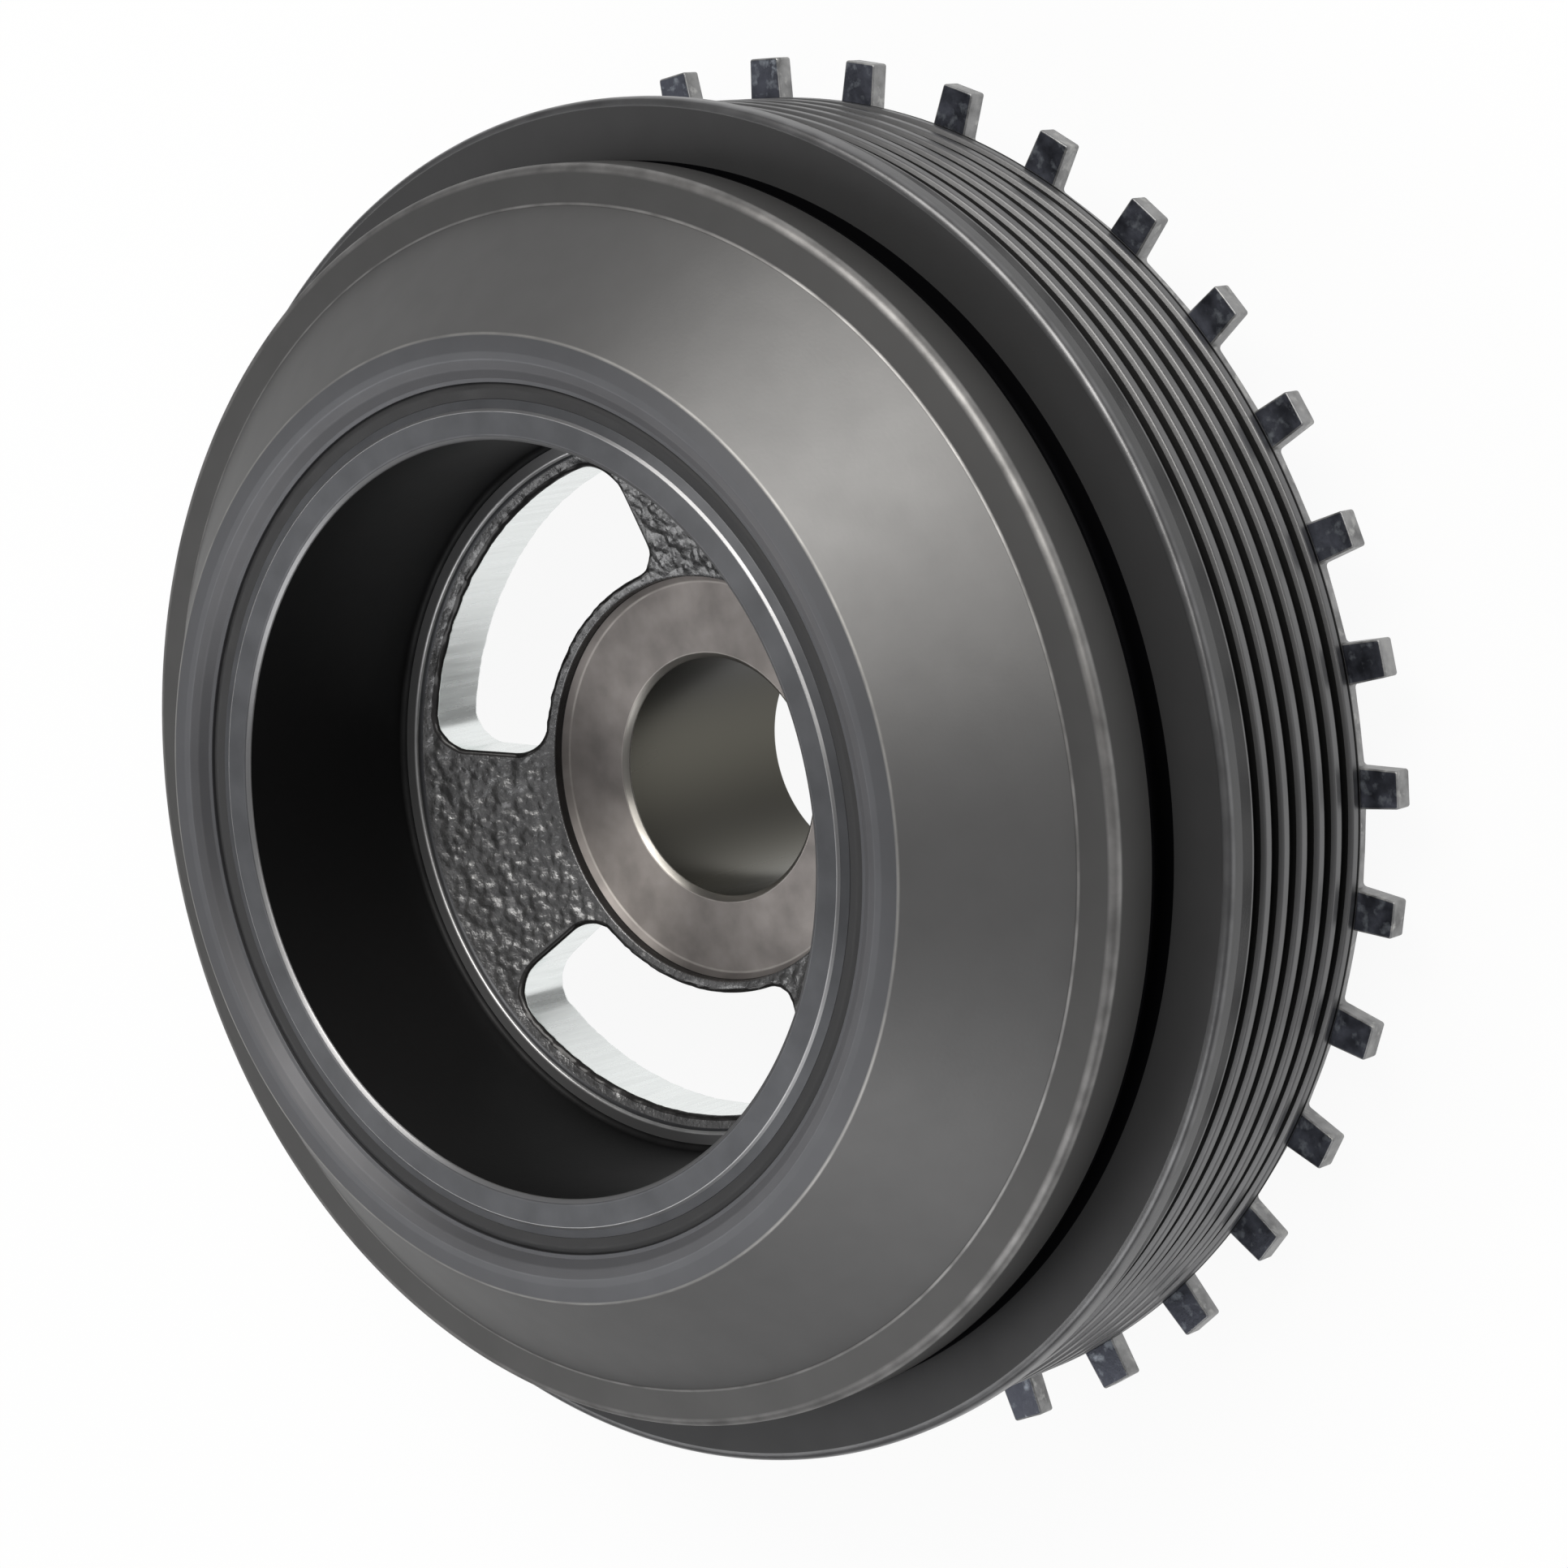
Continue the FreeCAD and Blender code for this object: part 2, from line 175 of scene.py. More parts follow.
def sand_cast_iron(name, colour, roughness, depth):
    # A rough cast skin with a thin oily gloss.
    material, tree, shader = finish_nodes(name, colour, 0.7, roughness)
    place = tree.nodes.new("ShaderNodeTexCoord").outputs["Object"]
    waves = speckle(tree, place, 3.0 * MM, detail=2.0)
    sand = speckle(tree, place, 0.5 * MM)
    grit = speckle(tree, place, 0.2 * MM, detail=2.0)
    coarse = bumped(tree, sand, depth, strength=0.7)
    gritty = bumped(tree, grit, depth / 4, strength=0.5, below=coarse)
    tree.links.new(gritty, shader.inputs["Normal"])
    worn_and_highlit_colour(tree, shader, colour, colour, waves, 0.25)
    roughened(tree, shader, sand, roughness - 0.06, roughness + 0.12)
    shader.inputs["Coat Weight"].default_value = 0.7
    shader.inputs["Coat Roughness"].default_value = 0.16
    return material


def along_axis(tree, size, detail):
    # Noise drawn out along the crank axis.
    place = tree.nodes.new("ShaderNodeTexCoord").outputs["Object"]
    squeeze = tree.nodes.new("ShaderNodeMapping")
    squeeze.inputs["Scale"].default_value = (1, 1, 0.08)
    tree.links.new(place, squeeze.inputs["Vector"])
    return speckle(tree, squeeze.outputs["Vector"], size, detail)


def honed_iron(name, colour, worn_and_highlit, roughness):
    # A honed hole, with soft dark and light bands along its length: painted reflection and shade.
    material, tree, shader = finish_nodes(name, colour, 0.9, roughness)
    place = tree.nodes.new("ShaderNodeTexCoord").outputs["Object"]
    light_and_shade_bands = along_axis(tree, 17 * MM, detail=0.0)
    worn_and_highlit_colour(tree, shader, colour, worn_and_highlit, light_and_shade_bands, 0.8)
    roughened(tree, shader, light_and_shade_bands, roughness + 0.08, roughness - 0.08)
    lines = speckle(tree, lathe_lines(tree, place), 0.3 * MM)
    tree.links.new(bumped(tree, lines, 0.01 * MM, strength=0.2), shader.inputs["Normal"])
    return material


def milled_iron(name, colour, roughness):
    # A cut face, bright partly as milled and partly as painted reflection, with the cutter's marks
    # running straight through it.
    material, tree, shader = finish_nodes(name, colour, 0.95, roughness)
    marks = along_axis(tree, 0.9 * MM, detail=3.0)
    worn_and_highlit_colour(tree, shader, colour, colour, marks, 0.08)
    roughened(tree, shader, marks, roughness - 0.04, roughness + 0.04)
    tree.links.new(bumped(tree, marks, 0.04 * MM, strength=0.15), shader.inputs["Normal"])
    return material


# Each finish is its colour, the colour of its worn edges (partly painted highlight), and its
# roughness.
hub_rim_iron = turned_iron(
    "hub rim iron", (0.098, 0.1, 0.106), (0.42, 0.42, 0.43), 0.48, grain=0.8, mottle=0.12)
edge_iron = turned_iron(
    "edge iron", (0.28, 0.28, 0.285), (0.55, 0.55, 0.55), 0.36, grain=0.6)
chamfer_iron = turned_iron(
    "chamfer iron", (0.36, 0.345, 0.32), (0.7, 0.68, 0.64), 0.3, grain=0.6)
# Near black: painted shade on the cup's inner wall.
cup_wall_shade_iron = turned_iron(
    "cup wall painted shade", (0.012, 0.012, 0.0125), (0.06, 0.06, 0.06), 0.5, grain=0.6, metallic=0.75)
bolt_seat_iron = turned_iron(
    "bolt seat iron", (0.28, 0.258, 0.246), (0.65, 0.62, 0.58), 0.5, grain=0.9, mottle=0.2)
snout_iron = turned_iron(
    "snout iron", (0.3, 0.3, 0.3), (0.5, 0.5, 0.5), 0.28, grain=0.6)
bore_iron = honed_iron("bore iron", (0.068, 0.065, 0.054), (0.6, 0.58, 0.52), 0.34)
web_iron = sand_cast_iron("web iron", (0.145, 0.145, 0.147), 0.25, 0.16 * MM)
# Near black: painted shade on the bolt seat's wall and the windows' rounded front edges.
cast_shade_iron = sand_cast_iron("cast painted shade", (0.018, 0.017, 0.017), 0.5, 0.1 * MM)
# Near white: the milled window walls, painted brighter as a reflection of the floor below.
window_reflection_iron = milled_iron("window painted reflection", (0.88, 0.91, 0.9), 0.26)


def rounded(outline, closed):
    # Rounds an outline's corners over. Each corner is (radius, height, edge radius,
    # finish of the face after it, wear and painted edge highlight).
    points = []
    count = len(outline)
    side_share, degrees_a_step = 0.48, 15
    for i, (radius, height, edge, finish, corner_wear_and_highlight) in enumerate(outline):
        here = Vector((radius, height))
        if not closed and i in (0, count - 1):
            points.append((here, finish, 0))
            continue
        before = Vector(outline[i - 1][:2]) - here
        after = Vector(outline[(i + 1) % count][:2]) - here
        bend = math.pi - before.angle(after)
        longest = min(before.length, after.length) * side_share
        reach = min(edge * math.tan(bend / 2), longest)
        start = here + before.normalized() * reach
        end = here + after.normalized() * reach
        steps = max(2, round(math.degrees(bend) / degrees_a_step))
        for k in range(steps + 1):
            share = k / steps
            bent = start.lerp(here, share).lerp(here.lerp(end, share), share)
            wear_and_highlight = corner_wear_and_highlight if 0 < k < steps else 0
            points.append((bent, outline[i - 1][3] if k < steps else finish, wear_and_highlight))
    return points


def new_skin():
    return {"verts": [], "faces": [], "finish": [], "wear_and_highlight": []}


def add_point(skin, x, y, z, wear_and_highlight=0):
    skin["verts"].append((x * MM, y * MM, z * MM))
    skin["wear_and_highlight"].append(wear_and_highlight)


def add_band(skin, low, high, count, finish):
    # The faces between two rings of points, given by the rings' first points.
    for k in range(count):
        n = (k + 1) % count
        skin["faces"].append((low + k, low + n, high + n, high + k))
        skin["finish"].append(finish)


def spin(skin, outline, closed=True):
    # Turns an outline about the crank axis and adds it to the skin.
    points = rounded(outline, closed)
    start = len(skin["verts"])
    for point, _, wear_and_highlight in points:
        for k in range(AROUND):
            angle = math.tau * k / AROUND
            add_point(skin, point.x * math.cos(angle), point.x * math.sin(angle), point.y, wear_and_highlight)
    for i in range(len(points) if closed else len(points) - 1):
        following = (i + 1) % len(points)
        add_band(skin, start + i * AROUND, start + following * AROUND, AROUND, points[i][1])


def made_piece(name, skin, node):
    # Welds the skin into one closed mesh and stands it in for its CAD node.
    mesh = bpy.data.meshes.new(name)
    mesh.from_pydata(skin["verts"], [], skin["faces"])
    finishes = list(dict.fromkeys(skin["finish"]))
    for finish in finishes:
        mesh.materials.append(finish)
    chosen = [finishes.index(finish) for finish in skin["finish"]]
    mesh.polygons.foreach_set("material_index", chosen)
    # The wear along the edges, which also paints their highlight.
    mesh.attributes.new("edge_wear_and_highlight", "FLOAT", "POINT").data.foreach_set("value", skin["wear_and_highlight"])
    shape = bmesh.new()
    shape.from_mesh(mesh)
    bmesh.ops.remove_doubles(shape, verts=shape.verts, dist=0.001 * MM)
    bmesh.ops.recalc_face_normals(shape, faces=shape.faces)
    for face in shape.faces:
        face.smooth = True
    shape.to_mesh(mesh)
    shape.free()
    piece = bpy.data.objects.new(name, mesh)
    scene.collection.objects.link(piece)
    even = piece.modifiers.new("even shading", "WEIGHTED_NORMAL")
    even.weight = 60
    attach(piece, "root")
    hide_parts(node)


def window_ring(middle, offset):
    # The window's outline, moved out into the web by the offset.
    inner_mid = WINDOW_IN + WINDOW_CORNER
    outer_mid = WINDOW_OUT - WINDOW_CORNER
    inner_turn = math.asin(WINDOW_CORNER / inner_mid)
    outer_turn = math.asin(WINDOW_CORNER / outer_mid)
    half = WINDOW_HALF_ANGLE
    corner = WINDOW_CORNER + offset
    outer_steps, inner_steps, corner_steps = 70, 40, 12
    ring = []

    def arc(reach, at, radius, start, end, steps):
        # Part of a circle whose centre lies at this reach and angle.
        for k in range(steps):
            angle = start + (end - start) * k / steps
            x = reach * math.cos(at) + radius * math.cos(angle)
            y = reach * math.sin(at) + radius * math.sin(angle)
            ring.append(Vector((x, y)))

    quarter = math.pi / 2
    outer_end, inner_end = half - outer_turn, half - inner_turn
    arc(0, 0, WINDOW_OUT + offset, -outer_end, outer_end, outer_steps)
    arc(outer_mid, outer_end, corner, outer_end, half + quarter, corner_steps)
    arc(inner_mid, inner_end, corner, half + quarter, inner_end + math.pi, corner_steps)
    arc(0, 0, WINDOW_IN - offset, inner_end, -inner_end, inner_steps)
    arc(inner_mid, -inner_end, corner, -inner_end - math.pi, -half - quarter, corner_steps)
    arc(outer_mid, -outer_end, corner, -half - quarter, -outer_end, corner_steps)
    turn = Quaternion((0, 0, 1), middle)
    return [(turn @ point.to_3d()).to_2d() for point in ring]


def in_window(point, margin):
    # Whether the point lies in a window that is wider all round by the margin.
    radius = point.length
    if not WINDOW_IN - margin < radius < WINDOW_OUT + margin:
        return False
    for middle in WINDOWS_AT:
        away = abs((math.atan2(point.y, point.x) - middle + math.pi) % math.tau - math.pi)
        side = radius * math.sin(WINDOW_HALF_ANGLE - away)
        if side < -margin:
            continue
        for depth in (radius - WINDOW_IN, WINDOW_OUT - radius):
            if depth < WINDOW_CORNER and side < WINDOW_CORNER:
                gap = math.hypot(WINDOW_CORNER - depth, WINDOW_CORNER - side)
                return gap < WINDOW_CORNER + margin
        return True
    return False


def web_height(radius, back):
    # Both faces of the web are shallow cones.
    if back:
        return WEB_BACK_Z + (radius - SNOUT) * (RIM_BACK_Z - WEB_BACK_Z) / (RIM - SNOUT)
    return WEB_Z + (radius - SEAT_WALL) * (WEB_OUT_Z - WEB_Z) / (LEDGE - SEAT_WALL)


def cast_grain(point, back, edges):
    # The skin that the sand mould leaves, in pebbles of about a millimetre.
    place = Vector((point.x, point.y, BACK_LAYER * back))
    pebble = noise.voronoi(place / 1.15)[0][0]
    broad = noise.noise(place / 2.2)
    fine = noise.noise(place / 0.6)
    inner, outer = edges
    radius = point.length
    fade = min(1, max(0, (radius - inner) / GRAIN_FADE), max(0, (outer - radius) / GRAIN_FADE))
    return fade * (0.45 * (0.45 - pebble) + 0.12 * broad + 0.06 * fine)


def circle(radius):
    turns = [math.tau * k / AROUND for k in range(AROUND)]
    return [Vector((radius * math.cos(turn), radius * math.sin(turn))) for turn in turns]


def quarter_round(radius, steps):
    # How far the points of a rounded edge stand back from its two faces.
    tilts = [math.radians(90 * k / steps) for k in range(steps + 1)]
    return [(radius * (1 - math.sin(tilt)), radius * (1 - math.cos(tilt))) for tilt in tilts]


def flat_net(rings, outer, spots=()):
    # Triangles that fill the outer ring and leave the others open. All rings run
    # counter-clockwise, and so do the corners of a triangle that lies in one.
    points, ties, owners = [], [], []
    for ring in rings:
        first, count = len(points), len(ring)
        ties += [(first + k, first + (k + 1) % count) for k in range(count)]
        points += ring
        owners += [ring] * count
    points += spots
    owners += [outer] * len(spots)
    inside, tolerance = 1, 1e-5
    net, _, faces, sources, *_ = delaunay_2d_cdt(points, ties, [], inside, tolerance)
    filled = []
    for face in faces:
        a, b, c = sorted(sources[k][0] for k in face)
        all_on_a_hole = owners[a] is owners[b] is owners[c] is not outer
        turn = (points[b] - points[a]).cross(points[c] - points[a])
        if not (all_on_a_hole and turn > 0):
            filled.append(face)
    return net, filled


def add_net(skin, net, faces, heights, finish):
    start = len(skin["verts"])
    for point, height in zip(net, heights):
        add_point(skin, point.x, point.y, height)
    for face in faces:
        skin["faces"].append(tuple(start + k for k in face))
        skin["finish"].append(finish)


def cast_web(skin, back, edges, spacing, rounding):
    # One face of the web: a net of even triangles, left open at the windows.
    inner, outer = edges
    row_share = 0.866
    clear = spacing * 0.6
    spots = []
    rows = int(outer / (spacing * row_share)) + 1
    for row in range(-rows, rows + 1):
        for column in range(-rows - 1, rows + 2):
            spot = Vector(((column + row % 2 / 2) * spacing, row * spacing * row_share))
            if inner + clear < spot.length < outer - clear:
                if not in_window(spot, rounding + clear):
                    spots.append(spot)
    rings = [circle(inner), circle(outer)]
    rings += [window_ring(middle, rounding) for middle in WINDOWS_AT]
    net, faces = flat_net(rings, rings[1], spots)
    heights = [web_height(point.length, back) + cast_grain(point, back, edges) for point in net]
    add_net(skin, net, faces, heights, web_iron)


def window_wall(skin, middle):
    # Rows of the wall from the front face down to the back one. The rounded edge
    # at the front is painted dark as shade, and the wall under it is cut bright
    # and painted near white besides, a painted reflection of the floor.
    rows = [(False, *step) for step in quarter_round(FRONT_ROUND, 5)]
    rows += [(True, *step) for step in reversed(quarter_round(BACK_ROUND, 4))]
    shade_painted_rows = 4
    start = len(skin["verts"])
    for back, offset, drop in rows:
        ring = window_ring(middle, offset)
        for point in ring:
            height = web_height(point.length, back) + (drop if back else -drop)
            grain = cast_grain(point, back, WEB_BACK_EDGES if back else WEB_FRONT_EDGES)
            add_point(skin, point.x, point.y, height + grain * (1 - drop / GRAIN_REACH))
    for row in range(len(rows) - 1):
        low = start + row * len(ring)
        finish = cast_shade_iron if row < shade_painted_rows else window_reflection_iron
        add_band(skin, low, low + len(ring), len(ring), finish)


hub = new_skin()
spin(hub, [
    (WEB_BACK_EDGES[1], web_height(WEB_BACK_EDGES[1], True), 0, web_iron, 0),
    (RIM, RIM_BACK_Z, 1.0, hub_rim_iron, 0.2),
    (RIM, RIM_FRONT_Z - 0.6, 0.1, hub_rim_iron, 0.1),
    (RIM - 1.05, RIM_FRONT_Z - 0.27, 0.1, edge_iron, 0.2),
    (RIM - 1.35, RIM_FRONT_Z, 0.2, hub_rim_iron, 0.6),
    (CUP + 0.6, RIM_FRONT_Z, 0.5, edge_iron, 0.2),
    # The cup's wall is painted black as shade.
    (CUP, RIM_FRONT_Z - 0.45, 0.3, cup_wall_shade_iron, 0.4),
    (CUP, LEDGE_Z, 0.7, edge_iron, 0.3),
    (LEDGE, LEDGE_Z, 0.4, hub_rim_iron, 0.9),
    (LEDGE, WEB_OUT_Z, 0.4, web_iron, 0),
    (WEB_FRONT_EDGES[1], web_height(WEB_FRONT_EDGES[1], False), 0, web_iron, 0),
], closed=False)
spin(hub, [
    (WEB_FRONT_EDGES[0], web_height(WEB_FRONT_EDGES[0], False), 0, web_iron, 0),
    # The seat's wall is painted black as shade.
    (SEAT_WALL, WEB_Z, 0.3, cast_shade_iron, 0),
    (SEAT_WALL, SEAT_Z + 0.8, 0.3, bolt_seat_iron, 0),
    (SEAT, SEAT_Z, 0.5, bolt_seat_iron, 0.5),
    (BORE + 0.7, SEAT_Z, 0.25, chamfer_iron, 0.5),
    (BORE, SEAT_Z - 0.7, 0.25, bore_iron, 0.5),
    (BORE, 0.8, 0.3, bore_iron, 0.3),
    (BORE + 0.8, 0, 0.3, snout_iron, 0.3),
    (SNOUT - 1.6, 0, 0.5, snout_iron, 0.3),
    (SNOUT, 1.6, 0.5, snout_iron, 0.3),
    (SNOUT, WEB_BACK_Z, 2.5, web_iron, 0),
    (WEB_BACK_EDGES[0], web_height(WEB_BACK_EDGES[0], True), 0, web_iron, 0),
], closed=False)
cast_web(hub, False, WEB_FRONT_EDGES, FRONT_SPACING, FRONT_ROUND)
cast_web(hub, True, WEB_BACK_EDGES, BACK_SPACING, BACK_ROUND)
for middle in WINDOWS_AT:
    window_wall(hub, middle)
made_piece("hub_casting", hub, "hub")


# Rubber ring
# A band of black rubber, bonded between the hub's rim and the pulley ring, lets
# the ring lag a little as the crank twists. At the nose it ends just below both.
RING_BORE = 51.0
RUBBER_TOP, RUBBER_LOW = 65.3, 31.7


def moulded_rubber():
    black = (0.018, 0.018, 0.019)
    material, tree, shader = finish_nodes("moulded rubber", black, 0.0, 0.6)
    place = tree.nodes.new("ShaderNodeTexCoord").outputs["Object"]
    bloom = speckle(tree, place, 5 * MM, detail=4.0)
    worn_and_highlit_colour(tree, shader, black, (0.03, 0.03, 0.03), bloom, 0.2)
    roughened(tree, shader, bloom, 0.5, 0.7)
    skin = bumped(tree, speckle(tree, place, 0.3 * MM), 0.04 * MM, strength=0.5)
    tree.links.new(skin, shader.inputs["Normal"])
    return material


rubber = moulded_rubber()
rubber_middle = (RIM + RING_BORE) / 2
rubber_ring = new_skin()
spin(rubber_ring, [
    (RIM, RUBBER_LOW, 0.05, rubber, 0),
    (rubber_middle, RUBBER_LOW + 0.7, 0.9, rubber, 0),
    (RING_BORE, RUBBER_LOW, 0.05, rubber, 0),
    (RING_BORE, RUBBER_TOP - 0.3, 0.05, rubber, 0),
    (rubber_middle + 0.2, RUBBER_TOP, 0.7, rubber, 0),
    (RIM, RUBBER_TOP - 0.25, 0.05, rubber, 0),
])
made_piece("rubber_band", rubber_ring, "rubber_ring")


# Pulley ring
# One heavy iron ring, turned all over and phosphated dark. From the nose it has
# a bevelled face, a long cone, a shoulder, a deep relief groove, and the belt
# flange with its six V-grooves. The trigger wheel sits on its rear register.
NOSE_Z = 66.6
CONE_TOP, CONE_TOP_Z = 56.7, 66.3
CONE_FOOT, CONE_FOOT_Z = 70.5, 52.4
BODY, SHOULDER_Z = 75.2, 51.9
RELIEF, RELIEF_TOP_Z, FLANGE_Z = 72.0, 44.6, 40.8
FLANGE, RIB = 82.4, 81.4
GROOVES, PITCH, FIRST_GROOVE_Z = 6, 3.56, 33.4
GROOVE_DEPTH, RIB_SIDE = 3.2, 0.6
GROOVE_HALF = GROOVE_DEPTH * math.tan(math.radians(20))
RING_BACK_Z, REGISTER_Z = 12.7, 10.7
REGISTER, CAVITY, CAVITY_FLOOR = 70.0, 64.5, 59.0

# The ring is one turned iron, but each face has its own copy, set lighter or darker to how bright
# it looks under these lamps: painted light and shade.
cone_iron = turned_iron(
    "cone iron", (0.182, 0.181, 0.18), (0.5, 0.49, 0.47), 0.47, grain=0.6)
shoulder_iron = turned_iron(
    "shoulder iron", (0.088, 0.087, 0.086), (0.55, 0.54, 0.53), 0.44)
bevel_iron = turned_iron(
    "bevel iron", (0.13, 0.13, 0.136), (0.45, 0.45, 0.46), 0.5, grain=0.85)
nose_iron = turned_iron(
    "nose iron", (0.11, 0.111, 0.117), (0.45, 0.45, 0.46), 0.46, grain=0.7)
flange_iron = turned_iron(
    "flange iron", (0.047, 0.047, 0.048), (0.42, 0.42, 0.43), 0.44,
    grain=0.3, metallic=0.4, edge_tint=0.3)
land_iron = turned_iron(
    "land iron", (0.09, 0.09, 0.091), (0.42, 0.42, 0.43), 0.34, grain=0.3, edge_tint=1.0)
rib_iron = turned_iron(
    "rib iron", (0.15, 0.15, 0.152), (0.3, 0.3, 0.3), 0.38, grain=0.3, edge_tint=0.9)
# Near black: painted shade down the V-grooves and in a thin line where the ring meets the wheel.
groove_shade_iron = turned_iron(
    "groove painted shade", (0.012, 0.012, 0.012), (0.02, 0.02, 0.02), 0.5, grain=0.3)
# Near black: painted shade in the relief groove under the body and on the body's lowest 0.7 mm.
relief_shade_iron = turned_iron(
    "relief painted shade", (0.006, 0.006, 0.007), (0.1, 0.1, 0.1), 0.5, grain=0.3, edge_tint=0.1)

ring_outline = [
    (RING_BORE, RIM_BACK_Z, 0.3, cone_iron, 0.2),
    (CAVITY_FLOOR, RIM_BACK_Z, 2.0, cone_iron, 0),
    (CAVITY, REGISTER_Z, 0.4, cone_iron, 0.2),
    (REGISTER, REGISTER_Z, 0.3, cone_iron, 0.2),
    (REGISTER, RING_BACK_Z, 0.2, cone_iron, 0),
    # The ring's lowest 0.8 mm outside is painted black as the shade line against the wheel.
    (RIB, RING_BACK_Z, 0.5, groove_shade_iron, 0),
    (RIB, RING_BACK_Z + 0.8, 0.1, rib_iron, 0),
]
for groove in reversed(range(GROOVES)):
    middle_z = FIRST_GROOVE_Z - groove * PITCH
    side_z = middle_z - GROOVE_HALF * (1 - RIB_SIDE / GROOVE_DEPTH)
    ring_outline += [
        (RIB, middle_z - GROOVE_HALF, 0.35, rib_iron, 0),
        # Below the tops of their flanks the grooves are painted black as shade.
        (RIB - RIB_SIDE, side_z, 0.2, groove_shade_iron, 0),
        (RIB - GROOVE_DEPTH, middle_z, 0.3, groove_shade_iron, 0),
        (RIB, middle_z + GROOVE_HALF, 0.35, rib_iron, 0),
    ]
ring_outline += [
    (RIB, FIRST_GROOVE_Z + GROOVE_HALF + 0.4, 0.5, flange_iron, 0),
    (FLANGE, FLANGE_Z - 2.5, 0.7, land_iron, 0),
    (FLANGE, FLANGE_Z, 1.1, flange_iron, 0.25),
    # From here in, the relief groove is painted black as shade.
    (BODY - 0.2, FLANGE_Z, 0.2, relief_shade_iron, 0),
    (RELIEF, FLANGE_Z, 1.6, relief_shade_iron, 0),
    (RELIEF, RELIEF_TOP_Z, 1.2, relief_shade_iron, 0),
    (BODY, RELIEF_TOP_Z, 0.8, relief_shade_iron, 0),
    (BODY, RELIEF_TOP_Z + 0.7, 0.3, shoulder_iron, 0),
    (BODY, SHOULDER_Z, 1.3, shoulder_iron, 0.4),
    (CONE_FOOT, CONE_FOOT_Z, 0.7, cone_iron, 0.6),
    (CONE_TOP, CONE_TOP_Z, 0.7, nose_iron, 0.8),
    (CONE_TOP - 2.1, NOSE_Z, 1.4, nose_iron, 0),
    (RING_BORE + 2.7, NOSE_Z, 1.0, bevel_iron, 0.1),
    (RING_BORE + 1.6, NOSE_Z - 0.35, 1.4, bevel_iron, 0.1),
    (RING_BORE + 0.5, NOSE_Z - 1.1, 0.2, nose_iron, 0),
    (RING_BORE, NOSE_Z - 1.2, 0.1, nose_iron, 0),
]
pulley_ring = new_skin()
spin(pulley_ring, ring_outline)
made_piece("pulley_ring_turned", pulley_ring, "pulley_ring")


# Trigger wheel
# A toothed ring stamped from dark steel plate and pressed on the register. The
# crank sensor counts its teeth, and one place of 36 is left empty as the mark.
WHEEL_BORE, WHEEL_ROOT, WHEEL_TIP = 70.05, 80.4, 86.2
WHEEL_BACK_Z, WHEEL_FRONT_Z = 10.2, 12.7
TOOTH_PLACES, TEETH, FIRST_TOOTH = 36, 35, 181.25
TIP_HALF, TIP_CORNER, NECK_HALF, NECK_FILLET = 2.2, 0.35, 2.4, 0.5
PRESS_EDGE, EDGE_WEAR = 0.2, 0.4


def stamped_steel(name, colour, flecks, roughness):
    # Dark blotchy plate, flecked with paler spots.
    material, tree, shader = finish_nodes(name, colour, 0.8, roughness)
    place = tree.nodes.new("ShaderNodeTexCoord").outputs["Object"]
    blotch = speckle(tree, place, 2.4 * MM, detail=5.0)
    rubbed_and_highlit = (0.3, 0.31, 0.33)
    worn_and_highlit_colour(tree, shader, colour, rubbed_and_highlit, blotch, 0.45)
    stain = tree.nodes.new("ShaderNodeMix")
    stain.data_type = "RGBA"
    stain.inputs["B"].default_value = (*flecks, 1)
    plain = shader.inputs["Base Color"].links[0].from_socket
    spots = speckle(tree, place, 1.3 * MM, detail=4.0)
    tree.links.new(between(tree, spots, 0, 1, start=0.55, end=0.7), stain.inputs["Factor"])
    tree.links.new(plain, stain.inputs["A"])
    tree.links.new(stain.outputs["Result"], shader.inputs["Base Color"])
    roughened(tree, shader, blotch, roughness - 0.1, roughness + 0.16)
    scale = bumped(tree, speckle(tree, place, 0.9 * MM), 0.07 * MM, strength=0.7)
    grit = speckle(tree, place, 0.2 * MM)
    gritty = bumped(tree, grit, 0.02 * MM, strength=0.5, below=scale)
    tree.links.new(gritty, shader.inputs["Normal"])
    return material


plate_steel = stamped_steel("plate steel", (0.075, 0.08, 0.1), (0.22, 0.24, 0.27), 0.4)
sheared_steel = stamped_steel("sheared steel", (0.26, 0.26, 0.26), (0.4, 0.4, 0.39), 0.42)


def tooth_outline():
    # Half of a tooth, from the middle of its tip to the foot of its side.
    side = [Vector((WHEEL_TIP, 0.0)), Vector((WHEEL_TIP, TIP_HALF - TIP_CORNER))]
    for aside, down in quarter_round(TIP_CORNER, 4)[1:]:
        side.append(Vector((WHEEL_TIP - down, TIP_HALF - aside)))
    side.append(Vector((WHEEL_ROOT + NECK_FILLET, NECK_HALF)))
    for up, aside in quarter_round(NECK_FILLET, 5)[1:]:
        side.append(Vector((WHEEL_ROOT + up, NECK_HALF + aside)))
    return side


